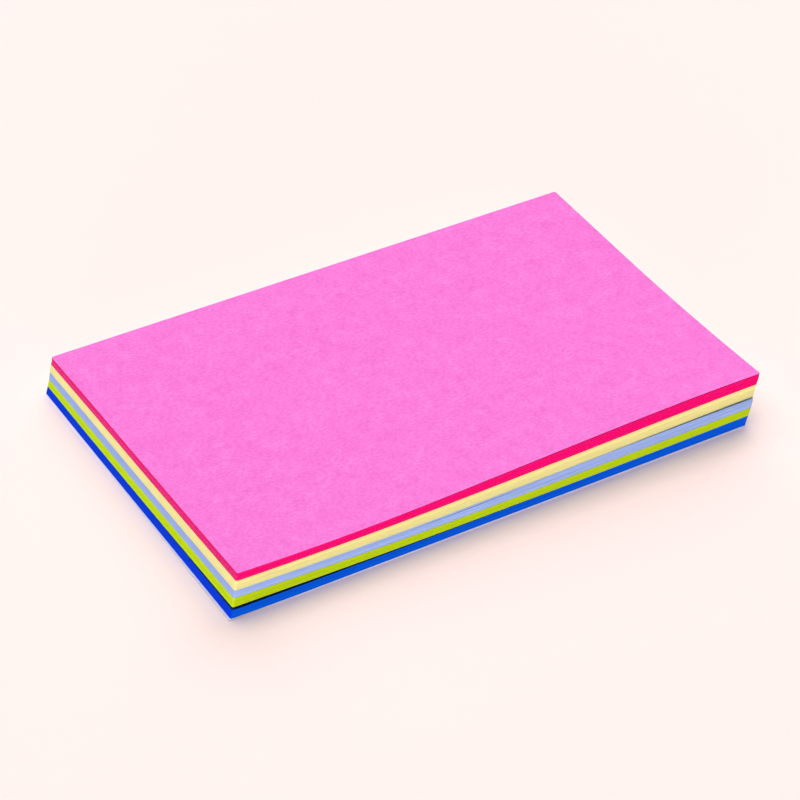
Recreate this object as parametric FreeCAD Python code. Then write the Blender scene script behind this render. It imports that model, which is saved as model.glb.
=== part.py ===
import FreeCAD, Part

import math
import os

# A pad of blank sticky notes: five blocks of coloured sheets on one thin white backing sheet.
# The notes are glued along the back long edge, and towards the loose front edge they open and curl up a little.
# X runs along the long side, Y from the loose front edge (-Y) to the glued back edge (+Y), and Z up.
# The origin is the centre of the underside of the backing sheet. Lengths are in millimetres, angles in degrees.

# Page format
PAGE_LENGTH = 127.0
PAGE_WIDTH = 76.2
PAGE_CORNER_RADIUS = 0.4

# Sheets and backing
SHEETS_PER_BLOCK = 20
SHEET_THICKNESS = 0.091
BACKING_THICKNESS = 0.12

# Adhesive strip on the underside of each block, along the glued edge
STRIP_WIDTH = 13.0
STRIP_THICKNESS = 0.03
STRIP_EDGE_INSET = 1.0
STRIP_END_INSET = 1.5

# The flat pressed band reaches past the strip by this margin, and there each block is thicker than at its cut
# edge by the rise. Over the ease width the band goes over into the curled part
PRESSED_MARGIN = 1.0
PRESSED_RISE = 0.13
EASE_WIDTH = 8.0

# Share of an even wedge that the opening has reached between the band and the loose edge, at the left end, the
# middle and the right end. Under 1 the sheets lie flat for longer and curl up near the loose edge
OPENING_SHARES = (0.85, 1.1, -0.15)

# Air between the sheets of each block at the loose edge: at the left corner, at one third and at two thirds of
# the length, and at the right corner
ROYAL_BLUE_AIR = (0.98, 0.54, 0.44, 0.89)
LIME_GREEN_AIR = (0.54, 0.20, 0.36, 0.43)
PERIWINKLE_AIR = (0.0, 0.31, 0.86, 0.86)
PALE_YELLOW_AIR = (0.55, 0.86, 1.26, 1.44)
HOT_PINK_AIR = (0.38, 0.55, 1.57, 1.43)

# Open gaps at the loose edge, under the lime green block at its left corner and under the pale yellow block at
# its right corner: at the corner itself, and a tenth of the length further in
LIME_GREEN_GAP = (0.58, 0.34)
PALE_YELLOW_GAP = (0.35, 0.36)

# Each block lies a little out of line with the backing sheet: moved along X and Y, and turned about Z
ROYAL_BLUE_SHIFT_X = 0.33
ROYAL_BLUE_SHIFT_Y = 0.27
ROYAL_BLUE_TURN = 0.25
LIME_GREEN_SHIFT_X = 0.68
LIME_GREEN_SHIFT_Y = 0.26
LIME_GREEN_TURN = 0.12
PERIWINKLE_SHIFT_X = 0.8
PERIWINKLE_SHIFT_Y = 0.17
PERIWINKLE_TURN = 0.08
PALE_YELLOW_SHIFT_X = 1.07
PALE_YELLOW_SHIFT_Y = 0.52
PALE_YELLOW_TURN = 0.11
HOT_PINK_SHIFT_X = 1.3
HOT_PINK_SHIFT_Y = 0.25
HOT_PINK_TURN = 0.0

# The curved faces are quadratic splines with this many even spans along the length
DEGREE = 2
LENGTH_SPANS = 5
COLUMNS = LENGTH_SPANS + DEGREE
NO_GAP = [0.0] * COLUMNS


class Block:
    """One colour of sheets: its name, the air at its loose edge, its place, and the gap under each column."""

    def __init__(self, name, air, shift_x, shift_y, turn, gap=NO_GAP):
        self.name = name
        self.air = air
        self.shift_x = shift_x
        self.shift_y = shift_y
        self.turn = turn
        self.gap = gap


def gap_at_left(gap):
    """Gap under each column, open at the left corner and closed after two columns."""
    return list(gap) + [0.0] * (COLUMNS - len(gap))


def gap_at_right(gap):
    """Gap under each column, open at the right corner and closed after two columns."""
    return gap_at_left(gap)[::-1]


# The blocks from the backing sheet upwards
BLOCKS = (
    Block("royal_blue", ROYAL_BLUE_AIR, ROYAL_BLUE_SHIFT_X, ROYAL_BLUE_SHIFT_Y, ROYAL_BLUE_TURN),
    Block("lime_green", LIME_GREEN_AIR, LIME_GREEN_SHIFT_X, LIME_GREEN_SHIFT_Y, LIME_GREEN_TURN,
          gap_at_left(LIME_GREEN_GAP)),
    Block("periwinkle", PERIWINKLE_AIR, PERIWINKLE_SHIFT_X, PERIWINKLE_SHIFT_Y, PERIWINKLE_TURN),
    Block("pale_yellow", PALE_YELLOW_AIR, PALE_YELLOW_SHIFT_X, PALE_YELLOW_SHIFT_Y, PALE_YELLOW_TURN,
          gap_at_right(PALE_YELLOW_GAP)),
    Block("hot_pink", HOT_PINK_AIR, HOT_PINK_SHIFT_X, HOT_PINK_SHIFT_Y, HOT_PINK_TURN),
)

# Sizes that follow from the ones above
PRESSED_THICKNESS = SHEETS_PER_BLOCK * SHEET_THICKNESS
PRESSED_BAND = STRIP_EDGE_INSET + STRIP_WIDTH + PRESSED_MARGIN
PRESSED_SLOPE = PRESSED_RISE / PRESSED_BAND

# The curved faces reach past the sheets by the greatest shift, the swing of the greatest turn and a little more
FACE_SPARE = 0.5
GREATEST_SHIFT = max(max(abs(block.shift_x), abs(block.shift_y)) for block in BLOCKS)
GREATEST_TURN = max(abs(block.turn) for block in BLOCKS)
FACE_MARGIN = GREATEST_SHIFT + PAGE_LENGTH / 2 * math.sin(math.radians(GREATEST_TURN)) + FACE_SPARE

# Where the spans of the curved faces begin and end: across the length, and as distances from the glued edge
LENGTH_BREAKS = [
    (PAGE_LENGTH + 2 * FACE_MARGIN) * (span / LENGTH_SPANS - 0.5) for span in range(LENGTH_SPANS + 1)
]
WIDTH_BREAKS = [-FACE_MARGIN, PRESSED_BAND, PRESSED_BAND + EASE_WIDTH, PAGE_WIDTH + FACE_MARGIN]


def control_places(breaks):
    """Places of the control points between these breaks, each the mean of its inner knots."""
    knots = [breaks[0]] * DEGREE + breaks + [breaks[-1]] * DEGREE
    return [sum(knots[i + 1:i + 1 + DEGREE]) / DEGREE for i in range(len(knots) - DEGREE - 1)]


COLUMN_PLACES = control_places(LENGTH_BREAKS)
ROW_PLACES = control_places(WIDTH_BREAKS)
# The last row lies at the loose edge and the row before it between that edge and the band
LOOSE_ROW = len(ROW_PLACES) - 1
CURL_ROW = LOOSE_ROW - 1


def smooth_between(values, share):
    """The lowest polynomial through evenly spaced values, at a share of the way from the first to the last."""
    steps = len(values) - 1
    total = 0.0
    for i, value in enumerate(values):
        weight = 1.0
        for j in range(len(values)):
            if j != i:
                weight *= (share * steps - j) / (i - j)
        total += value * weight
    return total


def level_heights(height):
    """Control heights of a level face."""
    return [[height] * len(ROW_PLACES) for _ in COLUMN_PLACES]


def raised(heights, amount):
    """Control heights moved up by one amount."""
    return [[height + amount for height in column] for column in heights]


def with_gap(heights, gap):
    """Control heights raised at the loose edge by the gap under each column."""
    return [column[:LOOSE_ROW] + [column[LOOSE_ROW] + opening] for column, opening in zip(heights, gap)]


def with_block(heights, air):
    """Control heights of a block's top face, from those of its underside.

    To the pressed thickness comes the even slope of the pressed band, and from the band to the loose edge
    whatever more air the sheets hold.
    """
    top = []
    for column, place in zip(heights, COLUMN_PLACES):
        share = place / PAGE_LENGTH + 0.5
        extra = smooth_between(air, share) - PRESSED_SLOPE * PAGE_WIDTH
        wedge = (ROW_PLACES[CURL_ROW] - PRESSED_BAND) / (PAGE_WIDTH - PRESSED_BAND)
        growth = [PRESSED_THICKNESS + PRESSED_SLOPE * row for row in ROW_PLACES]
        growth[CURL_ROW] += extra * wedge * smooth_between(OPENING_SHARES, share)
        growth[LOOSE_ROW] += extra
        top.append([height + more for height, more in zip(column, growth)])
    return top


def band_height(heights, y):
    """Height of the flat pressed band at a place along Y."""
    first, second = heights[0][:2]
    slope = (second - first) / (ROW_PLACES[1] - ROW_PLACES[0])
    return first + slope * (PAGE_WIDTH / 2 - y - ROW_PLACES[0])


def band_face(heights):
    """The flat face of the pressed band, over the whole length of the pad."""
    back = PAGE_WIDTH / 2 - WIDTH_BREAKS[0]
    front = PAGE_WIDTH / 2 - PRESSED_BAND
    left, right = LENGTH_BREAKS[0], LENGTH_BREAKS[-1]
    corners = [
        FreeCAD.Vector(x, y, band_height(heights, y))
        for x, y in ((left, front), (right, front), (right, back), (left, back))
    ]
    return Part.Face(Part.makePolygon(corners + corners[:1]))


def curved_face(heights):
    """The face from the band to the loose edge whose control points have these heights."""
    poles = [
        [FreeCAD.Vector(x, PAGE_WIDTH / 2 - row, height) for row, height in zip(ROW_PLACES, column)]
        for x, column in zip(COLUMN_PLACES, heights)
    ]
    counts = [[DEGREE + 1] + [1] * (len(breaks) - 2) + [DEGREE + 1] for breaks in (LENGTH_BREAKS, WIDTH_BREAKS)]
    surface = Part.BSplineSurface()
    surface.buildFromPolesMultsKnots(poles, counts[0], counts[1], LENGTH_BREAKS, WIDTH_BREAKS, False, False,
                                     DEGREE, DEGREE)
    surface.segment(LENGTH_BREAKS[0], LENGTH_BREAKS[-1], PRESSED_BAND, WIDTH_BREAKS[-1])
    return surface.toShape()


def space_under(heights, depth):
    """The space of this depth under the band and the curved part."""
    below = FreeCAD.Vector(0, 0, -depth)
    return band_face(heights).extrude(below).fuse(curved_face(heights).extrude(below))


def page_outline():
    """The outline of a page: a rectangle with slightly blunt corners, centred on the origin."""
    centre_x = PAGE_LENGTH / 2 - PAGE_CORNER_RADIUS
    centre_y = PAGE_WIDTH / 2 - PAGE_CORNER_RADIUS
    corners = []
    for quarter, (side_x, side_y) in enumerate(((1, 1), (-1, 1), (-1, -1), (1, -1))):
        angles = [math.radians(90 * quarter + step) for step in (0, 45, 90)]
        corners.append([
            FreeCAD.Vector(side_x * centre_x + PAGE_CORNER_RADIUS * math.cos(angle),
                           side_y * centre_y + PAGE_CORNER_RADIUS * math.sin(angle), 0)
            for angle in angles
        ])
    edges = []
    for corner, following in zip(corners, corners[1:] + corners[:1]):
        edges.append(Part.Arc(*corner).toShape())
        edges.append(Part.LineSegment(corner[-1], following[0]).toShape())
    return Part.Wire(edges)


def placed(shape, block):
    """A flat shape turned and moved to where the block lies."""
    shape = shape.copy()
    shape.rotate(FreeCAD.Vector(0, 0, 0), FreeCAD.Vector(0, 0, 1), block.turn)
    shape.translate(FreeCAD.Vector(block.shift_x, block.shift_y, 0))
    return shape


def sheets(block, bottom, top):
    """The block's sheets: the page outline between the underside and the top face."""
    height = max(max(column) for column in top) + FACE_SPARE
    page = placed(Part.Face(page_outline()), block).extrude(FreeCAD.Vector(0, 0, height))
    body = page.common(space_under(top, height)).cut(space_under(bottom, height))
    return body.Solids[0]


def adhesive(block, support):
    """The strip under a block's glued edge, on the face below it."""
    end = PAGE_LENGTH / 2 - STRIP_END_INSET
    back = PAGE_WIDTH / 2 - STRIP_EDGE_INSET
    front = back - STRIP_WIDTH
    corners = [FreeCAD.Vector(x, y, 0) for x, y in ((-end, front), (end, front), (end, back), (-end, back))]
    flat = placed(Part.makePolygon(corners + corners[:1]), block)
    seat = [FreeCAD.Vector(v.X, v.Y, band_height(support, v.Y)) for v in flat.OrderedVertexes]
    strip = Part.Face(Part.makePolygon(seat + seat[:1]))
    return strip.extrude(FreeCAD.Vector(0, 0, STRIP_THICKNESS))


def backing():
    """The white release-paper sheet that the pad lies on."""
    return Part.Face(page_outline()).extrude(FreeCAD.Vector(0, 0, BACKING_THICKNESS))


def pad():
    """Every piece of the pad by name, from the backing sheet upwards."""
    pieces = {"backing_sheet": backing()}
    support = level_heights(BACKING_THICKNESS)
    for block in BLOCKS:
        bottom = with_gap(raised(support, STRIP_THICKNESS), block.gap)
        top = with_block(bottom, block.air)
        pieces[block.name + "_adhesive"] = adhesive(block, support)
        pieces[block.name + "_sheets"] = sheets(block, bottom, top)
        support = top
    return pieces


os.makedirs("parts", exist_ok=True)
for name, shape in pad().items():
    box = shape.BoundBox
    print("%-22s volume %9.2f  z %6.3f to %6.3f  valid %s" % (name, shape.Volume, box.ZMin, box.ZMax, shape.isValid()))
    shape.exportStep("parts/%s.step" % name)
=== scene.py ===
import math
from collections import namedtuple

import bpy
import numpy as np
from bpy.props import EnumProperty, FloatProperty, FloatVectorProperty, IntProperty, PointerProperty
from mathutils import Matrix, Vector


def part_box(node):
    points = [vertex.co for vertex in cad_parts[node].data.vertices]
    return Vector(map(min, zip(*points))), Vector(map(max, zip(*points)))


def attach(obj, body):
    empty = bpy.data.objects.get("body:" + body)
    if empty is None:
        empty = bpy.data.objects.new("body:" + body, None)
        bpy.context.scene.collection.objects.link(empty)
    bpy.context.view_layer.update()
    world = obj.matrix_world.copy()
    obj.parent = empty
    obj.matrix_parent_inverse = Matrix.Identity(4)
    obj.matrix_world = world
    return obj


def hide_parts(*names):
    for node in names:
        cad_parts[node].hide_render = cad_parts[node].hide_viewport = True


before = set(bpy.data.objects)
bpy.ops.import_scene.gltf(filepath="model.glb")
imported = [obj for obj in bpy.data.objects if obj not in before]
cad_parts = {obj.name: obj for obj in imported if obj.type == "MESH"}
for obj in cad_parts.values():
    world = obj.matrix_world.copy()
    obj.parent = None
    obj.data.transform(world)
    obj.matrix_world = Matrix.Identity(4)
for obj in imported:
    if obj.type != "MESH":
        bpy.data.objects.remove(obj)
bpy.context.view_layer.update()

bl_info = {
    "name": "Sticky Note Pad",
    "version": (1, 0, 0),
    "blender": (4, 5, 0),
    "location": "3D View > Sidebar > Note Pad",
    "description": "Dresses a pad of blank sticky notes: every sheet, its papers and a plain stage",
    "category": "Object",
}

# The pad lies on the XY plane with its glued edge at +Y and its loose edge at -Y. Lengths are in metres
MM = 0.001
BACKING_LOW, BACKING_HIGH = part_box("backing_sheet")

# Each paper from the backing sheet upwards. Lengths are in millimetres and angles in degrees:
# air between its sheets at the loose edge, from the left corner to the right one,
# gap under it at its left or right corner, and a tenth of the length further in,
# place and turn of its sheets on the backing sheet,
# colours of the page, of its cut long edges and of its cut short ends, the ends' colour being partly the paper's own
# and partly painted light, for how differently light falls on the short ends and on the long edges,
# share of the air that stays open between the sheets, and how unevenly it is spread,
# how far its sheets sink below the block's top face at the loose edge, from the left corner to the right one,
# and how much painted shade darkens the cut edges of its two top sheets, standing in for the shadow under a lifted top
# sheet
Paper = namedtuple("Paper", "name air left_gap right_gap place turn page edge end open_air uneven sink rim")
PAPERS = (
    Paper("royal_blue", (0.98, 0.54, 0.44, 0.89), (0.0, 0.0), (0.0, 0.0), (0.33, 0.27), 0.25,
          (0.008, 0.26, 0.77), (0.001, 0.365, 0.892), (0.001, 0.252, 0.94), 0.2, 0.5, (0.38, 0.28, 0.02, 0.0), 0.0),
    Paper("lime_green", (0.54, 0.20, 0.36, 0.43), (0.58, 0.34), (0.0, 0.0), (0.68, 0.26), 0.12,
          (0.72, 0.87, 0.14), (0.704, 0.825, 0.062), (0.777, 0.905, 0.065), 0.2, 0.5, (0.0, 0.0, 0.0, 0.0), 0.0),
    Paper("periwinkle", (0.0, 0.31, 0.86, 0.86), (0.0, 0.0), (0.0, 0.0), (0.8, 0.17), 0.08,
          (0.63, 0.76, 0.96), (0.615, 0.727, 0.945), (0.623, 0.718, 0.935), 0.4, 1.3, (0.0, 0.0, 0.06, 0.24), 0.0),
    Paper("pale_yellow", (0.55, 0.86, 1.26, 1.44), (0.0, 0.0), (0.35, 0.36), (1.07, 0.52), 0.11,
          (0.92, 0.94, 0.68), (0.91, 0.898, 0.604), (0.937, 0.927, 0.645), 0.2, 0.5, (0.0, 0.0, 0.0, 0.0), 0.0),
    Paper("hot_pink", (0.38, 0.55, 1.57, 1.43), (0.0, 0.0), (0.0, 0.0), (1.3, 0.25), 0.0,
          (0.946, 0.491, 0.861), (0.922, 0.002, 0.437), (0.89, 0.08, 0.436), 0.2, 0.5, (0.0, 0.0, 0.0, 0.0), 0.4),
)

# The faces between the blocks are quadratic splines with this many even spans along the length
DEGREE = 2
LENGTH_SPANS = 5


def length(name, description, default):
    """A length that a user may change."""
    return FloatProperty(name=name, description=description, default=default, min=0.0, unit="LENGTH", precision=5)


def colour(name, description, default):
    """A colour that a user may change, as it looks on the screen."""
    return FloatVectorProperty(name=name, description=description, default=default, size=3, min=0.0, max=1.0,
                               subtype="COLOR_GAMMA")


def share_of_light(name, source, default):
    """How much of the light on the floor comes from one source."""
    return FloatProperty(name=name, description="Share of the floor's light from " + source, default=default, min=0.0,
                         subtype="FACTOR")


def tint(name, description, default):
    """A light's colour as three shares of plain white."""
    return FloatVectorProperty(name=name, description=description, default=default, size=3, min=0.0, max=2.0,
                               subtype="COLOR")


def way_to_lamp(name, degrees):
    """Bearing of a lamp seen from the pad, from +X towards +Y, and its height angle."""
    return FloatVectorProperty(name=name, description="Bearing and height angle of the lamp", size=2, unit="ROTATION",
                               default=[math.radians(angle) for angle in degrees])


def lamp_size(name, sides):
    """Width and height of a lamp."""
    return FloatVectorProperty(name=name, description="Width and height of the lamp", default=sides, size=2,
                               unit="LENGTH")


class PadSettings(bpy.types.PropertyGroup):
    """Sizes of the page and of the stack."""

    page_length: length("Page length", "Long side of a page", BACKING_HIGH[0] - BACKING_LOW[0])
    page_width: length("Page width", "Short side of a page", BACKING_HIGH[1] - BACKING_LOW[1])
    corner_radius: length("Corner radius", "How blunt the corners of a page are", 0.4 * MM)
    backing_skew: length("Backing skew", "How much further back its front edge runs at the right end", 0.45 * MM)
    lift: length("Lift", "How far the left end of the backing stands off the floor at the loose edge", 0.28 * MM)
    lift_reach: length("Lift reach", "How far in from the left end the backing is off the floor", 20.0 * MM)
    backing_thickness: length("Backing", "Thickness of the backing sheet", BACKING_HIGH[2] - BACKING_LOW[2])
    sheet_thickness: length("Sheet", "Thickness of one sheet", 0.091 * MM)
    sheets: IntProperty(name="Sheets", description="Sheets of each colour", default=20, min=2)
    film_thickness: length("Adhesive", "Thickness of the adhesive under each block", 0.03 * MM)
    pressed_band: length("Pressed band", "Width of the flat band at the glued edge", 15.0 * MM)
    pressed_rise: length("Rise", "How much thicker a block is where the pressed band ends", 0.13 * MM)
    ease_width: length("Ease", "Width over which the band goes over into the curl", 8.0 * MM)
    face_margin: length("Margin", "How far the curved faces reach past the page", 2.08 * MM)
    opening: FloatVectorProperty(
        name="Opening", description="Share of an even wedge reached before the loose edge: left, middle, right",
        default=(0.85, 1.1, -0.15), size=3)
    unevenness: length("Unevenness", "How far a sheet may lie out of line with its neighbours", 0.03 * MM)
    foot: length("Foot", "How much further left the lowest sheet lies than the middle of its block", 0.12 * MM)
    clearance: length("Clearance", "How far every block's sheets stay below its curved face", 0.006 * MM)
    columns: IntProperty(name="Columns", description="Grid cells of a sheet along its length", default=44, min=4)
    rows: IntProperty(name="Rows", description="Grid cells of a sheet across its width", default=26, min=4)
    backing_colour: colour("Backing", "Colour of the release paper", (0.94, 0.965, 0.97))
    adhesive_colour: colour("Adhesive", "Colour of the adhesive", (0.93, 0.92, 0.88))


def notes_settings(paper):
    """Settings of one colour of notes, with that paper's own defaults."""
    fields = {
        "air": FloatVectorProperty(
            name="Air", description="Air between the sheets at the loose edge, from the left to the right corner",
            default=[value * MM for value in paper.air], size=4, unit="LENGTH", precision=5),
        "left_gap": FloatVectorProperty(
            name="Left gap", description="Gap under the block at its left corner, and a little further in",
            default=[value * MM for value in paper.left_gap], size=2, unit="LENGTH", precision=5),
        "right_gap": FloatVectorProperty(
            name="Right gap", description="Gap under the block a little before its right corner, and at it",
            default=[value * MM for value in paper.right_gap], size=2, unit="LENGTH", precision=5),
        "place": FloatVectorProperty(
            name="Place", description="Where the block's middle lies on the backing sheet",
            default=[value * MM for value in paper.place], size=2, unit="LENGTH", precision=5),
        "turn": FloatProperty(name="Turn", description="How far the block is turned out of line",
                              default=math.radians(paper.turn), unit="ROTATION"),
        "page": colour("Page", "Colour of a page", paper.page),
        # The edge and end colours are partly the paper's own and partly painted light, for how differently light falls
        # on the long edges and the short ends
        "edge": colour("Edge", "Colour of the cut long edges", paper.edge),
        "end": colour("End", "Colour of the cut short ends", paper.end),
        "open_air": FloatProperty(name="Open air", description="Share of the air that stays open between sheets",
                                  default=paper.open_air, min=0.0, max=1.0, subtype="FACTOR"),
        "uneven": FloatProperty(name="Uneven", description="How unevenly the air is spread over the sheets",
                                default=paper.uneven, min=0.0, max=2.0),
        "sink": FloatVectorProperty(
            name="Sink", description="How far the sheets sink at the loose edge, from the left to the right corner",
            default=[value * MM for value in paper.sink], size=4, unit="LENGTH", precision=5),
        # Painted shade: how much the cut edges of the two top sheets are darkened, standing in for the shadow under a
        # lifted top sheet
        "rim": FloatProperty(name="Rim", description="How much darker the cut edges of the two top sheets are, "
                             "except near the left end of the long edges", default=paper.rim, min=0.0, max=1.0,
                             subtype="FACTOR"),
    }
    class_name = paper.name.title().replace("_", "") + "Settings"
    return type(class_name, (bpy.types.PropertyGroup,), {"__doc__": "One colour of notes.", "__annotations__": fields})


class StageSettings(bpy.types.PropertyGroup):
    """Camera, lamps and floor."""

    azimuth: FloatProperty(name="Azimuth", description="Camera's bearing, 0 in front of the loose edge",
                           default=math.radians(-36.47), unit="ROTATION")
    elevation: FloatProperty(name="Elevation", description="Camera's height angle", default=math.radians(40.83),
                             unit="ROTATION")
    roll: FloatProperty(name="Roll", description="Camera's tilt about its own axis", default=math.radians(6.40),
                        unit="ROTATION")
    distance: length("Distance", "From the camera to the plane through the pad's middle", 766.8 * MM)
    aside: FloatProperty(name="Aside", description="How far right of the middle of the image the pad is",
                         default=0.57 * MM, unit="LENGTH")
    below: FloatProperty(name="Below", description="How far under the middle of the image the pad is",
                         default=1.705 * MM, unit="LENGTH")
    focal_length: FloatProperty(name="Focal length", description="Camera's focal length in millimetres",
                                default=163.76, min=1.0)
    floor_width: length("Floor", "Side of the square floor", 6.0)
    floor_colour: colour("Floor", "Colour of the floor", (1.0, 0.958, 0.95))
    lamp_distance: length("Lamp distance", "From the pad to each lamp", 4.0)
    sky: share_of_light("Sky", "even light from all round", 0.06)
    sky_tint: tint("Sky tint", "Colour of the sky", (1.4, 0.9, 0.5))
    front_share: share_of_light("Front lamp", "the low lamp in front, which mostly lights the cut edges", 0.028)
    front_way: way_to_lamp("Front lamp", (237.0, 2.2))
    front_size: lamp_size("Front lamp size", (3.0, 0.2))
    front_tint: tint("Front tint", "Colour of the low lamp in front", (1.085, 1.0, 1.0))
    back_share: share_of_light("Back lamp", "the high lamp behind the right end", 0.41)
    back_way: way_to_lamp("Back lamp", (54.5, 48.0))
    back_size: lamp_size("Back lamp size", (4.8, 4.8))
    back_tint: tint("Back tint", "Colour of the high lamp behind the right end", (1.085, 1.01, 1.02))
    left_share: share_of_light("Left lamp", "the high lamp towards the left end", 0.515)
    left_way: way_to_lamp("Left lamp", (165.0, 76.0))
    left_size: lamp_size("Left lamp size", (3.45, 3.45))
    left_tint: tint("Left tint", "Colour of the high lamp towards the left end", (1.085, 1.01, 1.02))


def notes_heights(pad, notes):
    """Control heights of every block's underside and top, as two lists of arrays of columns by rows.

    Each block rests on the one below with the adhesive's thickness between, and its gap at the loose edge. Its
    thickness is that of its sheets and the even slope of the pressed band, and from the band to the loose edge
    come the rest of the air and the curl.
    """
    column_places = control_places(length_breaks(pad))
    row_places = control_places(width_breaks(pad))
    share = column_places / pad.page_length + 0.5
    slope = pad.pressed_rise / pad.pressed_band
    wedge = (row_places[-2] - pad.pressed_band) / (pad.page_width - pad.pressed_band)
    support = np.full((len(column_places), len(row_places)), pad.backing_thickness)
    undersides, tops = [], []
    for block in notes:
        underside = support + pad.film_thickness
        underside[:2, -1] += block.left_gap
        underside[-2:, -1] += block.right_gap
        growth = np.tile(pad.sheets * pad.sheet_thickness + slope * row_places, (len(column_places), 1))
        extra = smooth_between(block.air, share) - slope * pad.page_width
        growth[:, -2] += extra * wedge * smooth_between(pad.opening, share)
        growth[:, -1] += extra
        support = underside + growth
        undersides.append(underside)
        tops.append(support)
    return undersides, tops


def length_breaks(pad):
    """Where the spans of the curved faces begin and end along the length."""
    return np.linspace(-0.5, 0.5, LENGTH_SPANS + 1) * (pad.page_length + 2 * pad.face_margin)


def width_breaks(pad):
    """Where the spans of the curved faces begin and end, as distances from the glued edge."""
    band = pad.pressed_band
    return np.array([-pad.face_margin, band, band + pad.ease_width, pad.page_width + pad.face_margin])


def spline_knots(breaks):
    """The breaks with both ends repeated, so that the spline starts and ends on its end control points."""
    return np.concatenate(([breaks[0]] * DEGREE, breaks, [breaks[-1]] * DEGREE))


def control_places(breaks):
    """Places of the control points between these breaks, each the mean of its two inner knots."""
    knots = spline_knots(breaks)
    return (knots[1:-2] + knots[2:-1]) / 2


def spline_weights(breaks, places):
    """Weight of every control point at these places, along a new last axis.

    At first a place has weight 1 on its own span. Then each step blends two neighbours by how far the place has
    gone between their knots, rising on the one and falling on the other.
    """
    knots = spline_knots(breaks)
    inside = np.clip(places, breaks[0], breaks[-1] - 1e-9)[..., None]
    weights = ((knots[:-1] <= inside) & (inside < knots[1:])).astype(float)
    for degree in range(1, DEGREE + 1):
        span = knots[degree:] - knots[:-degree]
        safe = np.where(span > 0, span, 1.0)
        rise = (inside - knots[:-degree]) / safe
        weights = rise[..., :-1] * weights[..., :-1] + (1 - rise[..., 1:]) * weights[..., 1:]
    return weights


def smooth_between(values, share):
    """The lowest polynomial through evenly spaced values, at shares of the way from the first to the last."""
    values = np.array(values)
    return np.polyval(np.polyfit(np.linspace(0, 1, len(values)), values, len(values) - 1), share)


def surface_heights(pad, controls, x, y):
    """Heights of a curved face at these points: the control heights weighted along both ways."""
    along = spline_weights(length_breaks(pad), x)
    across = spline_weights(width_breaks(pad), pad.page_width / 2 - y)
    return np.einsum("...c,...r,cr->...", along, across, controls)


def page_points(pad, page_length, page_width):
    """x and y of a page's grid, as two arrays of columns by rows.

    Even inside, with two more lines at each side as wide as the corner radius. There the square of grid lines at a
    corner is bent onto a quarter disc: its reach is the greater of both shares, and its angle their ratio.
    """
    def lines(side, cells):
        inner = np.linspace(-0.5, 0.5, cells + 1) * (side - 2 * pad.corner_radius)
        middle = np.concatenate(([inner[0]] * 2, inner, [inner[-1]] * 2))
        share = np.zeros(len(middle))
        share[[0, -1]] = 1.0
        share[[1, -2]] = 0.5
        return middle, share

    middle_x, share_x = lines(page_length, pad.columns)
    middle_y, share_y = lines(page_width, pad.rows)
    u, v = np.meshgrid(share_x, share_y, indexing="ij")
    reach = np.maximum(u, v)
    angle = math.pi / 4 * np.minimum(u, v) / np.where(reach > 0, reach, 1.0)
    out_x = reach * np.where(u >= v, np.cos(angle), np.sin(angle))
    out_y = reach * np.where(u >= v, np.sin(angle), np.cos(angle))
    x = middle_x[:, None] + np.sign(middle_x)[:, None] * pad.corner_radius * out_x
    y = middle_y[None, :] + np.sign(middle_y)[None, :] * pad.corner_radius * out_y
    return x, y


def air_spread(rng, gaps, share, uneven):
    """Share of the air that lies under each sheet, as an array of sheets by the shape of share.

    Every gap's width is the exponential of a slow random wave along the length. The lowest sheet has no air under
    it and the highest has all of it.
    """
    waves = np.arange(1, 5)[:, None]
    phase = rng.uniform(0, 2 * math.pi, (gaps, 4, 1))
    strength = rng.normal(0, 1, (gaps, 4, 1)) / np.sqrt(waves)
    wave = (strength * np.cos(math.pi * waves * share.reshape(1, 1, -1) + phase)).sum(axis=1)
    width = np.exp(uneven * wave)
    under = np.concatenate((np.zeros((1, share.size)), np.cumsum(width, axis=0)))
    return (under / under[-1]).reshape((gaps + 1,) + share.shape)


def lifted(pad, x, y):
    """How far the backing stands off the floor: nothing over the pressed band, and from there evenly more towards
    the loose edge, times the square of the way through the lifted stretch at the left end."""
    along = np.clip((pad.lift_reach - pad.page_length / 2 - x) / pad.lift_reach, 0.0, 1.0)
    across = np.clip((pad.page_width / 2 - y - pad.pressed_band) / (pad.page_width - pad.pressed_band), 0.0, 1.0)
    return pad.lift * along ** 2 * across


def sunk(pad, block, x, y):
    """How far a block's sheets sink: its values along the loose edge, never below nothing, times the square of the
    way from the end of the curl's ease to the loose edge."""
    start = pad.pressed_band + pad.ease_width
    across = np.clip((pad.page_width / 2 - y - start) / (pad.page_width - start), 0.0, 1.0)
    return np.maximum(smooth_between(block.sink, x / pad.page_length + 0.5), 0.0) * across ** 2


def backing_points(pad):
    """Corners of the backing sheet, as an array of one sheet, faces, columns, rows and xyz.

    A page's grid, with its front edge running back a little towards the right end.
    """
    x, y = page_points(pad, pad.page_length, pad.page_width)
    y = y + pad.backing_skew * (x / pad.page_length + 0.5) * (0.5 - y / pad.page_width)
    low = lifted(pad, x, y)
    return np.stack([np.stack((x, y, low + rise), axis=-1) for rise in (0.0, pad.backing_thickness)])[None]


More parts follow.
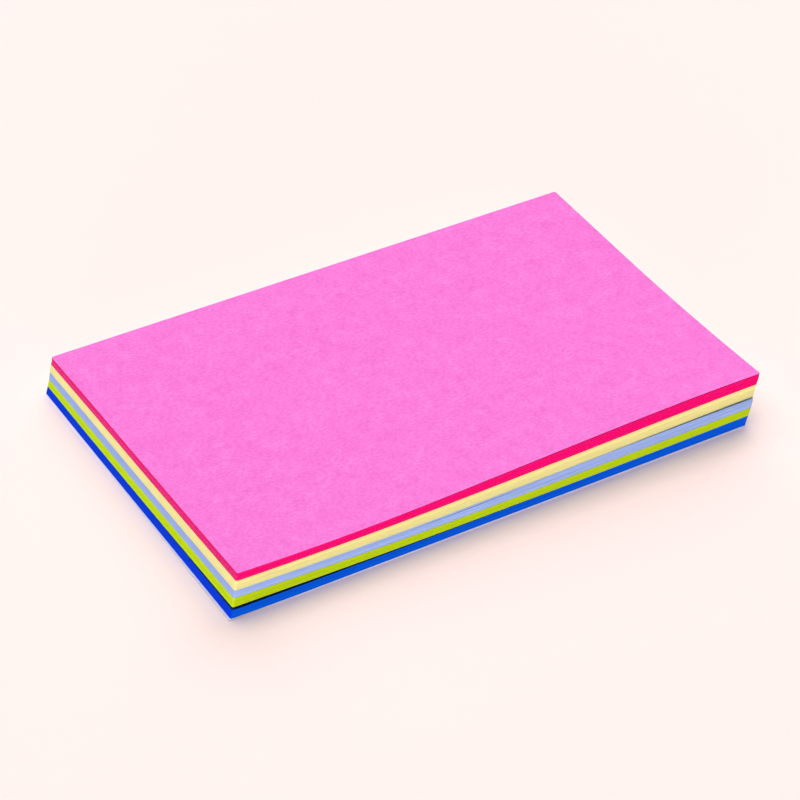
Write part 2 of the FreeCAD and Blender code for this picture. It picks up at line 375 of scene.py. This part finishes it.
def notes_points(pad, notes, index):
    """Corners of every sheet of a block, as an array of sheets, faces (under and top), columns, rows and xyz.

    A sheet's place and turn run evenly from the middle of one block to the middle of the next, so that the stack
    leans and has no steps. The lowest block's sheets lean on down to the foot. A sheet's two faces lie between the block's underside and top, with its share of the air. The
    top is lower than in the packed part by the clearance and by how far the block has sunk.
    """
    block = notes[index]
    rng = np.random.default_rng(100 + index)
    undersides, tops = notes_heights(pad, notes)
    sheet = np.arange(pad.sheets)
    level = index + (sheet + 0.5) / pad.sheets
    middles = np.arange(len(notes)) + 0.5
    places_x = [notes[0].place[0] - pad.foot] + [other.place[0] for other in notes]
    place_x = np.interp(level, np.append(0.0, middles), places_x)
    place_y = np.interp(level, middles, [other.place[1] for other in notes])
    turn = np.interp(level, middles, [other.turn for other in notes])[:, None, None]
    stray = rng.uniform(-1, 1, (2, pad.sheets)) * pad.unevenness
    page_x, page_y = page_points(pad, pad.page_length - 2 * pad.unevenness, pad.page_width - 2 * pad.unevenness)
    x = page_x * np.cos(turn) - page_y * np.sin(turn) + (place_x + stray[0])[:, None, None]
    y = page_x * np.sin(turn) + page_y * np.cos(turn) + (place_y + stray[1])[:, None, None]
    low = surface_heights(pad, undersides[index], x, y)
    high = surface_heights(pad, tops[index], x, y) - pad.clearance
    if index == 0:
        low = low + lifted(pad, x, y)
    high = high - sunk(pad, block, x, y)
    real_air = np.clip(1 - pad.sheets * pad.sheet_thickness / (high - low), 0.0, 1.0)
    air = 0.02 + block.open_air * real_air
    spread = air_spread(rng, pad.sheets - 1, page_x[:, 0] / pad.page_length + 0.5, block.uneven)[:, :, None]
    paper = (1 - air) / pad.sheets
    under_share = sheet[:, None, None] * paper + spread * air
    z = np.stack((low + (high - low) * under_share, low + (high - low) * (under_share + paper)), axis=1)
    flat = np.stack((x, y), axis=1)[:, :, None]
    return np.stack((np.repeat(flat[:, 0], 2, axis=1), np.repeat(flat[:, 1], 2, axis=1), z), axis=-1)


def sheet_faces(columns, rows):
    """Quads of one closed sheet on a grid of that many points, and how many of them are pages.

    The top page runs counterclockwise seen from above and the under page clockwise. The cut edge joins both round
    the outline.
    """
    count = columns * rows
    under = np.arange(count).reshape(columns, rows)
    quads = np.stack((under[:-1, :-1], under[1:, :-1], under[1:, 1:], under[:-1, 1:]), axis=-1).reshape(-1, 4)
    outline = np.concatenate((under[:-1, 0], under[-1, :-1], under[:0:-1, -1], under[0, :0:-1]))
    following = np.roll(outline, -1)
    cut = np.stack((outline, following, following + count, outline + count), axis=-1)
    return np.concatenate((quads[:, ::-1], quads + count, cut)), 2 * len(quads)


def sheets_object(name, points, seed):
    """One object from an array of sheets, faces, columns, rows and xyz: pages in its first material and cut edges in
    its second.

    The attribute sheet_tone is a random number from -1 to 1 for each sheet, and cut_end is 1 on the short ends. On
    the cut edges of the two top sheets top_rim rises from 0 to 1 between a fifth and two fifths of the way from the
    left end.
    """
    sheets, _, columns, rows, _ = points.shape
    quads, pages = sheet_faces(columns, rows)
    corners = points.reshape(-1, 3)
    faces = (quads[None] + np.arange(sheets)[:, None, None] * (2 * columns * rows)).reshape(-1, 4)
    mesh = bpy.data.meshes.new(name)
    mesh.from_pydata(corners, [], faces)
    cut = np.tile(np.arange(len(quads)) >= pages, sheets)
    mesh.polygons.foreach_set("material_index", cut.astype(np.int32))
    mesh.polygons.foreach_set("use_smooth", np.ones(len(faces), dtype=bool))
    run = corners[faces[:, 1]] - corners[faces[:, 0]]
    ends = cut * np.abs(run[:, 1]) / np.maximum(np.hypot(run[:, 0], run[:, 1]), 1e-9)
    tone = np.repeat(np.random.default_rng(seed).uniform(-1, 1, sheets), len(quads))
    top_two = np.repeat(np.arange(sheets) >= sheets - 2, len(quads)) & (sheets > 2)
    middle_x = (corners[faces[:, 0], 0] + corners[faces[:, 1], 0]) / 2
    share = (middle_x - corners[:, 0].min()) / np.ptp(corners[:, 0])
    # Mask of painted shade on the top two sheets' cut edges, standing in for the shadow under a lifted top sheet
    rim = cut * top_two * np.clip(5 * share - 1, 0.0, 1.0)
    for attribute, values in (("cut_end", ends), ("sheet_tone", tone), ("top_rim", rim)):
        mesh.attributes.new(attribute, "FLOAT", "FACE").data.foreach_set("value", values.astype(np.float32))
    mesh.update()
    mesh.set_sharp_from_angle(angle=math.radians(40))
    if mesh.validate():
        raise RuntimeError("the sheets of " + name + " have faces that don't close")
    piece = bpy.data.objects.new(name, mesh)
    bpy.context.scene.collection.objects.link(piece)
    return piece


def hand_over(piece, node):
    """The piece rides on the pad's one body, stands for a packed node and takes its finish from a slot."""
    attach(piece, "root")
    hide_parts(node)


def linear(value):
    """A screen colour as light: the standard curve, straight near black and a power of 2.4 above."""
    value = np.array(value)
    light = np.where(value <= 0.04045, value / 12.92, ((value + 0.055) / 1.055) ** 2.4)
    return (*light.tolist(), 1.0)


class Finish:
    """A material under construction, with short ways to add and join its nodes."""

    def __init__(self, name, roughness, specular):
        self.material = bpy.data.materials.new(name)
        self.material.use_nodes = True
        self.tree = self.material.node_tree
        self.shader = self.tree.nodes["Principled BSDF"]
        self.shader.inputs["Roughness"].default_value = roughness
        self.shader.inputs["Specular IOR Level"].default_value = specular
        self.place = self.add("ShaderNodeTexCoord").outputs["Object"]

    def add(self, kind, **settings):
        """A new node with these settings."""
        node = self.tree.nodes.new(kind)
        for name, value in settings.items():
            setattr(node, name, value)
        return node

    def join(self, output, socket):
        """A link from an output to a socket."""
        self.tree.links.new(output, socket)

    def noise(self, size, detail=2.0, stretch=(1.0, 1.0, 1.0)):
        """Noise whose grains are about this size, stretched along each axis."""
        mapping = self.add("ShaderNodeMapping")
        mapping.inputs["Scale"].default_value = [1 / value for value in stretch]
        texture = self.add("ShaderNodeTexNoise")
        texture.inputs["Scale"].default_value = 1 / size
        texture.inputs["Detail"].default_value = detail
        self.join(self.place, mapping.inputs["Vector"])
        self.join(mapping.outputs["Vector"], texture.inputs["Vector"])
        return texture.outputs["Fac"]

    def attribute(self, name):
        """A number that the mesh holds."""
        return self.add("ShaderNodeAttribute", attribute_name=name).outputs["Fac"]

    def ranged(self, value, low, high, new_low, new_high):
        """A value carried from one range to another, and kept in it."""
        node = self.add("ShaderNodeMapRange")
        self.join(value, node.inputs["Value"])
        for socket, number in zip(("From Min", "From Max", "To Min", "To Max"), (low, high, new_low, new_high)):
            node.inputs[socket].default_value = number
        return node.outputs["Result"]

    def average(self, first, second, share):
        """One value mixed with another by a share."""
        node = self.add("ShaderNodeMix")
        node.inputs[0].default_value = share
        self.join(first, node.inputs[2])
        self.join(second, node.inputs[3])
        return node.outputs[0]

    def mixed(self, share, first, second, blend="MIX"):
        """Two colours mixed by a share, each a colour or an output."""
        node = self.add("ShaderNodeMix", data_type="RGBA", blend_type=blend)
        sockets = {"share": node.inputs[0], "first": node.inputs[6], "second": node.inputs[7]}
        for key, value in (("share", share), ("first", first), ("second", second)):
            if isinstance(value, bpy.types.NodeSocket):
                self.join(value, sockets[key])
            else:
                sockets[key].default_value = value
        return node.outputs[2]

    def bump(self, height, depth, strength=1.0):
        """Relief of this depth in metres from a height between 0 and 1."""
        node = self.add("ShaderNodeBump")
        node.inputs["Strength"].default_value = strength
        node.inputs["Distance"].default_value = depth
        self.join(height, node.inputs["Height"])
        self.join(node.outputs["Normal"], self.shader.inputs["Normal"])

    def done(self, base):
        """The material with this base colour."""
        self.join(base, self.shader.inputs["Base Color"])
        return self.material


def shaded(value, factor):
    """A linear colour made darker or lighter."""
    return (*(min(channel * factor, 1.0) for channel in value[:3]), 1.0)


def page_finish(name, page):
    """Uncoated paper: cloudy blotches and fine fibres where the dye is a little stronger or weaker.

    Both noises together raise the page's colour to a power near 1, as more or less dye does, and make it a little
    darker or lighter. The fibres also give a faint relief.
    """
    finish = Finish(name, roughness=0.88, specular=0.25)
    clouds = finish.ranged(finish.noise(3.0 * MM, detail=3.0), 0.3, 0.7, 0.0, 1.0)
    fibres = finish.ranged(finish.noise(0.5 * MM, detail=2.0, stretch=(1.6, 1.0, 1.0)), 0.25, 0.75, 0.0, 1.0)
    paleness = finish.average(clouds, fibres, 0.68)
    dye = finish.add("ShaderNodeGamma")
    dye.inputs["Color"].default_value = linear(page)
    finish.join(finish.ranged(paleness, 0.0, 1.0, 1.15, 0.85), dye.inputs["Gamma"])
    shade = finish.mixed(paleness, (0.93, 0.93, 0.91, 1.0), (1.07, 1.07, 1.09, 1.0))
    tone = finish.ranged(finish.attribute("sheet_tone"), -1.0, 1.0, 0.0, 1.0)
    toned = finish.mixed(tone, (0.99, 0.99, 0.99, 1.0), (1.01, 1.01, 1.01, 1.0))
    finish.bump(fibres, 0.012 * MM, strength=0.6)
    shaded_dye = finish.mixed(1.0, dye.outputs["Color"], shade, blend="MULTIPLY")
    return finish.done(finish.mixed(1.0, shaded_dye, toned, blend="MULTIPLY"))


def cut_finish(name, edge, end, rim):
    """Cut paper: the deeper colour of the edges, a little different on the short ends, from sheet to sheet and in
    fine streaks along the edge, and darker by the rim on the two top sheets."""
    finish = Finish(name, roughness=0.9, specular=0.05)
    # The short ends' colour differs from the long edges' partly as painted light, for how light falls on each side
    sides = finish.mixed(finish.attribute("cut_end"), linear(edge), linear(end))
    streaks = finish.ranged(finish.noise(0.5 * MM, detail=2.0, stretch=(6.0, 6.0, 0.4)), 0.3, 0.7, 0.0, 1.0)
    streaky = finish.mixed(streaks, (0.95, 0.95, 0.96, 1.0), (1.05, 1.05, 1.04, 1.0))
    tone = finish.ranged(finish.attribute("sheet_tone"), -1.0, 1.0, 0.0, 1.0)
    toned = finish.mixed(tone, (0.96, 0.96, 0.97, 1.0), (1.04, 1.04, 1.03, 1.0))
    streaked = finish.mixed(1.0, sides, streaky, blend="MULTIPLY")
    sheeted = finish.mixed(1.0, streaked, toned, blend="MULTIPLY")
    # Painted shade: the two top sheets' cut edges darkened by this share, standing in for the shadow under a lifted
    # top sheet
    painted_rim_shaded = finish.mixed(finish.attribute("top_rim"), (1.0, 1.0, 1.0, 1.0), (1 - rim, 1 - rim, 1 - rim, 1.0))
    finish.bump(streaks, 0.01 * MM, strength=0.5)
    return finish.done(finish.mixed(1.0, sheeted, painted_rim_shaded, blend="MULTIPLY"))


def release_finish(name, base):
    """White release paper: a smooth, slightly shiny coat over a faint paper grain."""
    finish = Finish(name, roughness=0.45, specular=0.4)
    grain = finish.noise(0.8 * MM, detail=3.0)
    coat = finish.ranged(grain, 0.3, 0.7, 0.0, 1.0)
    finish.join(finish.ranged(grain, 0.3, 0.7, 0.38, 0.55), finish.shader.inputs["Roughness"])
    finish.bump(coat, 0.006 * MM, strength=0.5)
    return finish.done(finish.mixed(coat, shaded(linear(base), 0.95), linear(base)))


def adhesive_finish(name, base):
    """Repositionable adhesive: a thin milky film of small beads with a soft shine."""
    finish = Finish(name, roughness=0.35, specular=0.45)
    beads = finish.add("ShaderNodeTexVoronoi", feature="SMOOTH_F1")
    beads.inputs["Scale"].default_value = 1 / (0.25 * MM)
    finish.join(finish.place, beads.inputs["Vector"])
    domes = finish.ranged(beads.outputs["Distance"], 0.0, 0.8, 1.0, 0.0)
    finish.bump(domes, 0.01 * MM, strength=0.7)
    return finish.done(finish.mixed(domes, shaded(linear(base), 0.9), linear(base)))


def dress_node(node, material):
    """A packed node keeps its mesh and gets this material."""
    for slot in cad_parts[node].material_slots:
        slot.material = material


class PAD_OT_backing(bpy.types.Operator):
    """Makes the backing sheet of release paper"""

    bl_idname = "pad.backing"
    bl_label = "Backing sheet"

    def execute(self, context):
        settings = context.scene.pad_sizes
        piece = sheets_object("release_paper_backing", backing_points(settings), 0)
        coat = release_finish("release_paper_finish", settings.backing_colour)
        piece.data.materials.append(coat)
        piece.data.materials.append(coat)
        hand_over(piece, "backing_sheet")
        return {"FINISHED"}


class PAD_OT_adhesive(bpy.types.Operator):
    """Gives the adhesive strips their film"""

    bl_idname = "pad.adhesive"
    bl_label = "Adhesive strips"

    def execute(self, context):
        film = adhesive_finish("adhesive_finish", context.scene.pad_sizes.adhesive_colour)
        for paper in PAPERS:
            dress_node(paper.name + "_adhesive", film)
        return {"FINISHED"}


class PAD_OT_notes(bpy.types.Operator):
    """Makes every sheet of one colour"""

    bl_idname = "pad.notes"
    bl_label = "Notes"

    paper: EnumProperty(name="Paper", description="Which colour of notes to make",
                        items=[(paper.name, paper.name.replace("_", " ").capitalize(), "") for paper in PAPERS])

    def execute(self, context):
        scene = context.scene
        notes = [getattr(scene, "pad_" + paper.name) for paper in PAPERS]
        index = [paper.name for paper in PAPERS].index(self.paper)
        piece = sheets_object(self.paper + "_notes", notes_points(scene.pad_sizes, notes, index), 7 + index)
        block = notes[index]
        piece.data.materials.append(page_finish(self.paper + "_page", block.page))
        piece.data.materials.append(cut_finish(self.paper + "_cut_edge", block.edge, block.end, block.rim))
        hand_over(piece, self.paper + "_sheets")
        return {"FINISHED"}


def add_floor(settings):
    """The plain floor that the pad lies on."""
    half = settings.floor_width / 2
    mesh = bpy.data.meshes.new("floor")
    mesh.from_pydata([(-half, -half, 0), (half, -half, 0), (half, half, 0), (-half, half, 0)], [], [(0, 1, 2, 3)])
    floor = bpy.data.objects.new("floor", mesh)
    finish = Finish("floor_finish", roughness=0.9, specular=0.1)
    shade = finish.ranged(finish.noise(0.06, detail=2.0), 0.3, 0.7, 0.0, 1.0)
    base = linear(settings.floor_colour)
    mesh.materials.append(finish.done(finish.mixed(shade, shaded(base, 0.995), base)))
    bpy.context.scene.collection.objects.link(floor)


def add_sky(settings):
    """Even light from all round, with the floor's colour where the camera or a reflection sees past the floor."""
    world = bpy.data.worlds.new("sky")
    bpy.context.scene.world = world
    world.use_nodes = True
    nodes, links = world.node_tree.nodes, world.node_tree.links
    light = nodes["Background"]
    light.inputs["Color"].default_value = (*settings.sky_tint, 1.0)
    light.inputs["Strength"].default_value = settings.sky
    seen = nodes.new("ShaderNodeBackground")
    seen.inputs["Color"].default_value = linear(settings.floor_colour)
    path = nodes.new("ShaderNodeLightPath")
    either = nodes.new("ShaderNodeMath")
    either.operation = "MAXIMUM"
    links.new(path.outputs["Is Camera Ray"], either.inputs[0])
    links.new(path.outputs["Is Glossy Ray"], either.inputs[1])
    mix = nodes.new("ShaderNodeMixShader")
    links.new(either.outputs[0], mix.inputs[0])
    links.new(light.outputs[0], mix.inputs[1])
    links.new(seen.outputs[0], mix.inputs[2])
    links.new(mix.outputs[0], nodes["World Output"].inputs["Surface"])


def add_lamp(name, way, distance, sides, share, colour):
    """One large soft lamp that looks at the pad.

    Its power is pi squared times its share of a white floor's light, times the distance squared and a pi-th of its
    area together, over the sine of its height angle.
    """
    bearing, height = way
    place = distance * Vector((math.cos(bearing) * math.cos(height), math.sin(bearing) * math.cos(height),
                               math.sin(height)))
    light = bpy.data.lights.new(name, "AREA")
    light.shape = "RECTANGLE"
    light.size, light.size_y = sides
    light.color = colour
    light.energy = math.pi ** 2 * share * (distance ** 2 + sides[0] * sides[1] / math.pi) / math.sin(height)
    lamp = bpy.data.objects.new(name, light)
    lamp.location = place
    lamp.rotation_euler = place.to_track_quat("Z", "Y").to_euler()
    bpy.context.scene.collection.objects.link(lamp)


def add_camera(settings, pad_middle):
    """The camera, from its bearing, height angle, roll and the place of the top block in its view."""
    azimuth, elevation, roll = settings.azimuth, settings.elevation, settings.roll
    back = Vector((math.sin(azimuth) * math.cos(elevation), -math.cos(azimuth) * math.cos(elevation),
                   math.sin(elevation)))
    level_right = Vector((0, 0, 1)).cross(back).normalized()
    level_up = back.cross(level_right)
    right = math.cos(roll) * level_right + math.sin(roll) * level_up
    up = math.cos(roll) * level_up - math.sin(roll) * level_right
    turn = Matrix((right, up, back)).transposed()
    place = Vector(pad_middle) - settings.aside * right + settings.below * up + settings.distance * back
    lens = bpy.data.cameras.new("camera")
    lens.lens = settings.focal_length
    lens.sensor_width = 36.0
    lens.clip_start = 0.01
    camera = bpy.data.objects.new("camera", lens)
    camera.matrix_world = Matrix.Translation(place) @ turn.to_4x4()
    bpy.context.scene.collection.objects.link(camera)
    bpy.context.scene.camera = camera


class PAD_OT_stage(bpy.types.Operator):
    """Adds the floor, the lamps and the camera"""

    bl_idname = "pad.stage"
    bl_label = "Stage"

    def execute(self, context):
        scene = context.scene
        settings = scene.pad_stage
        add_floor(settings)
        add_sky(settings)
        for side in ("front", "back", "left"):
            parts = (side + "_way", side + "_size", side + "_share", side + "_tint")
            way, sides, share, colour = (getattr(settings, part) for part in parts)
            add_lamp(side + "_lamp", way, settings.lamp_distance, sides, share, colour)
        add_camera(settings, (*getattr(scene, "pad_" + PAPERS[-1].name).place, 0.0))
        scene.view_settings.view_transform = "Standard"
        return {"FINISHED"}


class PAD_PT_panel(bpy.types.Panel):
    """Lists the pad's settings and the buttons that make its pieces"""

    bl_idname = "PAD_PT_panel"
    bl_label = "Sticky Note Pad"
    bl_space_type = "VIEW_3D"
    bl_region_type = "UI"
    bl_category = "Note Pad"

    def draw(self, context):
        layout = self.layout
        layout.operator(PAD_OT_backing.bl_idname)
        layout.operator(PAD_OT_adhesive.bl_idname)
        for paper in PAPERS:
            button = layout.operator(PAD_OT_notes.bl_idname, text=paper.name.replace("_", " ").capitalize())
            button.paper = paper.name
        layout.operator(PAD_OT_stage.bl_idname)
        for name in SCENE_SETTINGS:
            box = layout.box()
            box.label(text=name.replace("_", " ").capitalize())
            settings = getattr(context.scene, name)
            for field in settings.bl_rna.properties.keys():
                if field not in ("rna_type", "name"):
                    box.prop(settings, field)


SCENE_SETTINGS = {"pad_sizes": PadSettings, "pad_stage": StageSettings}
SCENE_SETTINGS.update({"pad_" + paper.name: notes_settings(paper) for paper in PAPERS})
OPERATORS = (PAD_OT_backing, PAD_OT_adhesive, PAD_OT_notes, PAD_OT_stage)
CLASSES = (*SCENE_SETTINGS.values(), *OPERATORS, PAD_PT_panel)


def register():
    for item in CLASSES:
        bpy.utils.register_class(item)
    for name, settings in SCENE_SETTINGS.items():
        setattr(bpy.types.Scene, name, PointerProperty(type=settings))


def unregister():
    for name in SCENE_SETTINGS:
        delattr(bpy.types.Scene, name)
    for item in reversed(CLASSES):
        bpy.utils.unregister_class(item)


def main():
    """Makes the whole pad and its stage, and writes the two boxes."""
    register()
    bpy.ops.pad.backing()
    bpy.ops.pad.adhesive()
    for paper in PAPERS:
        bpy.ops.pad.notes(paper=paper.name)
    bpy.ops.pad.stage()


if __name__ == "__main__":
    main()
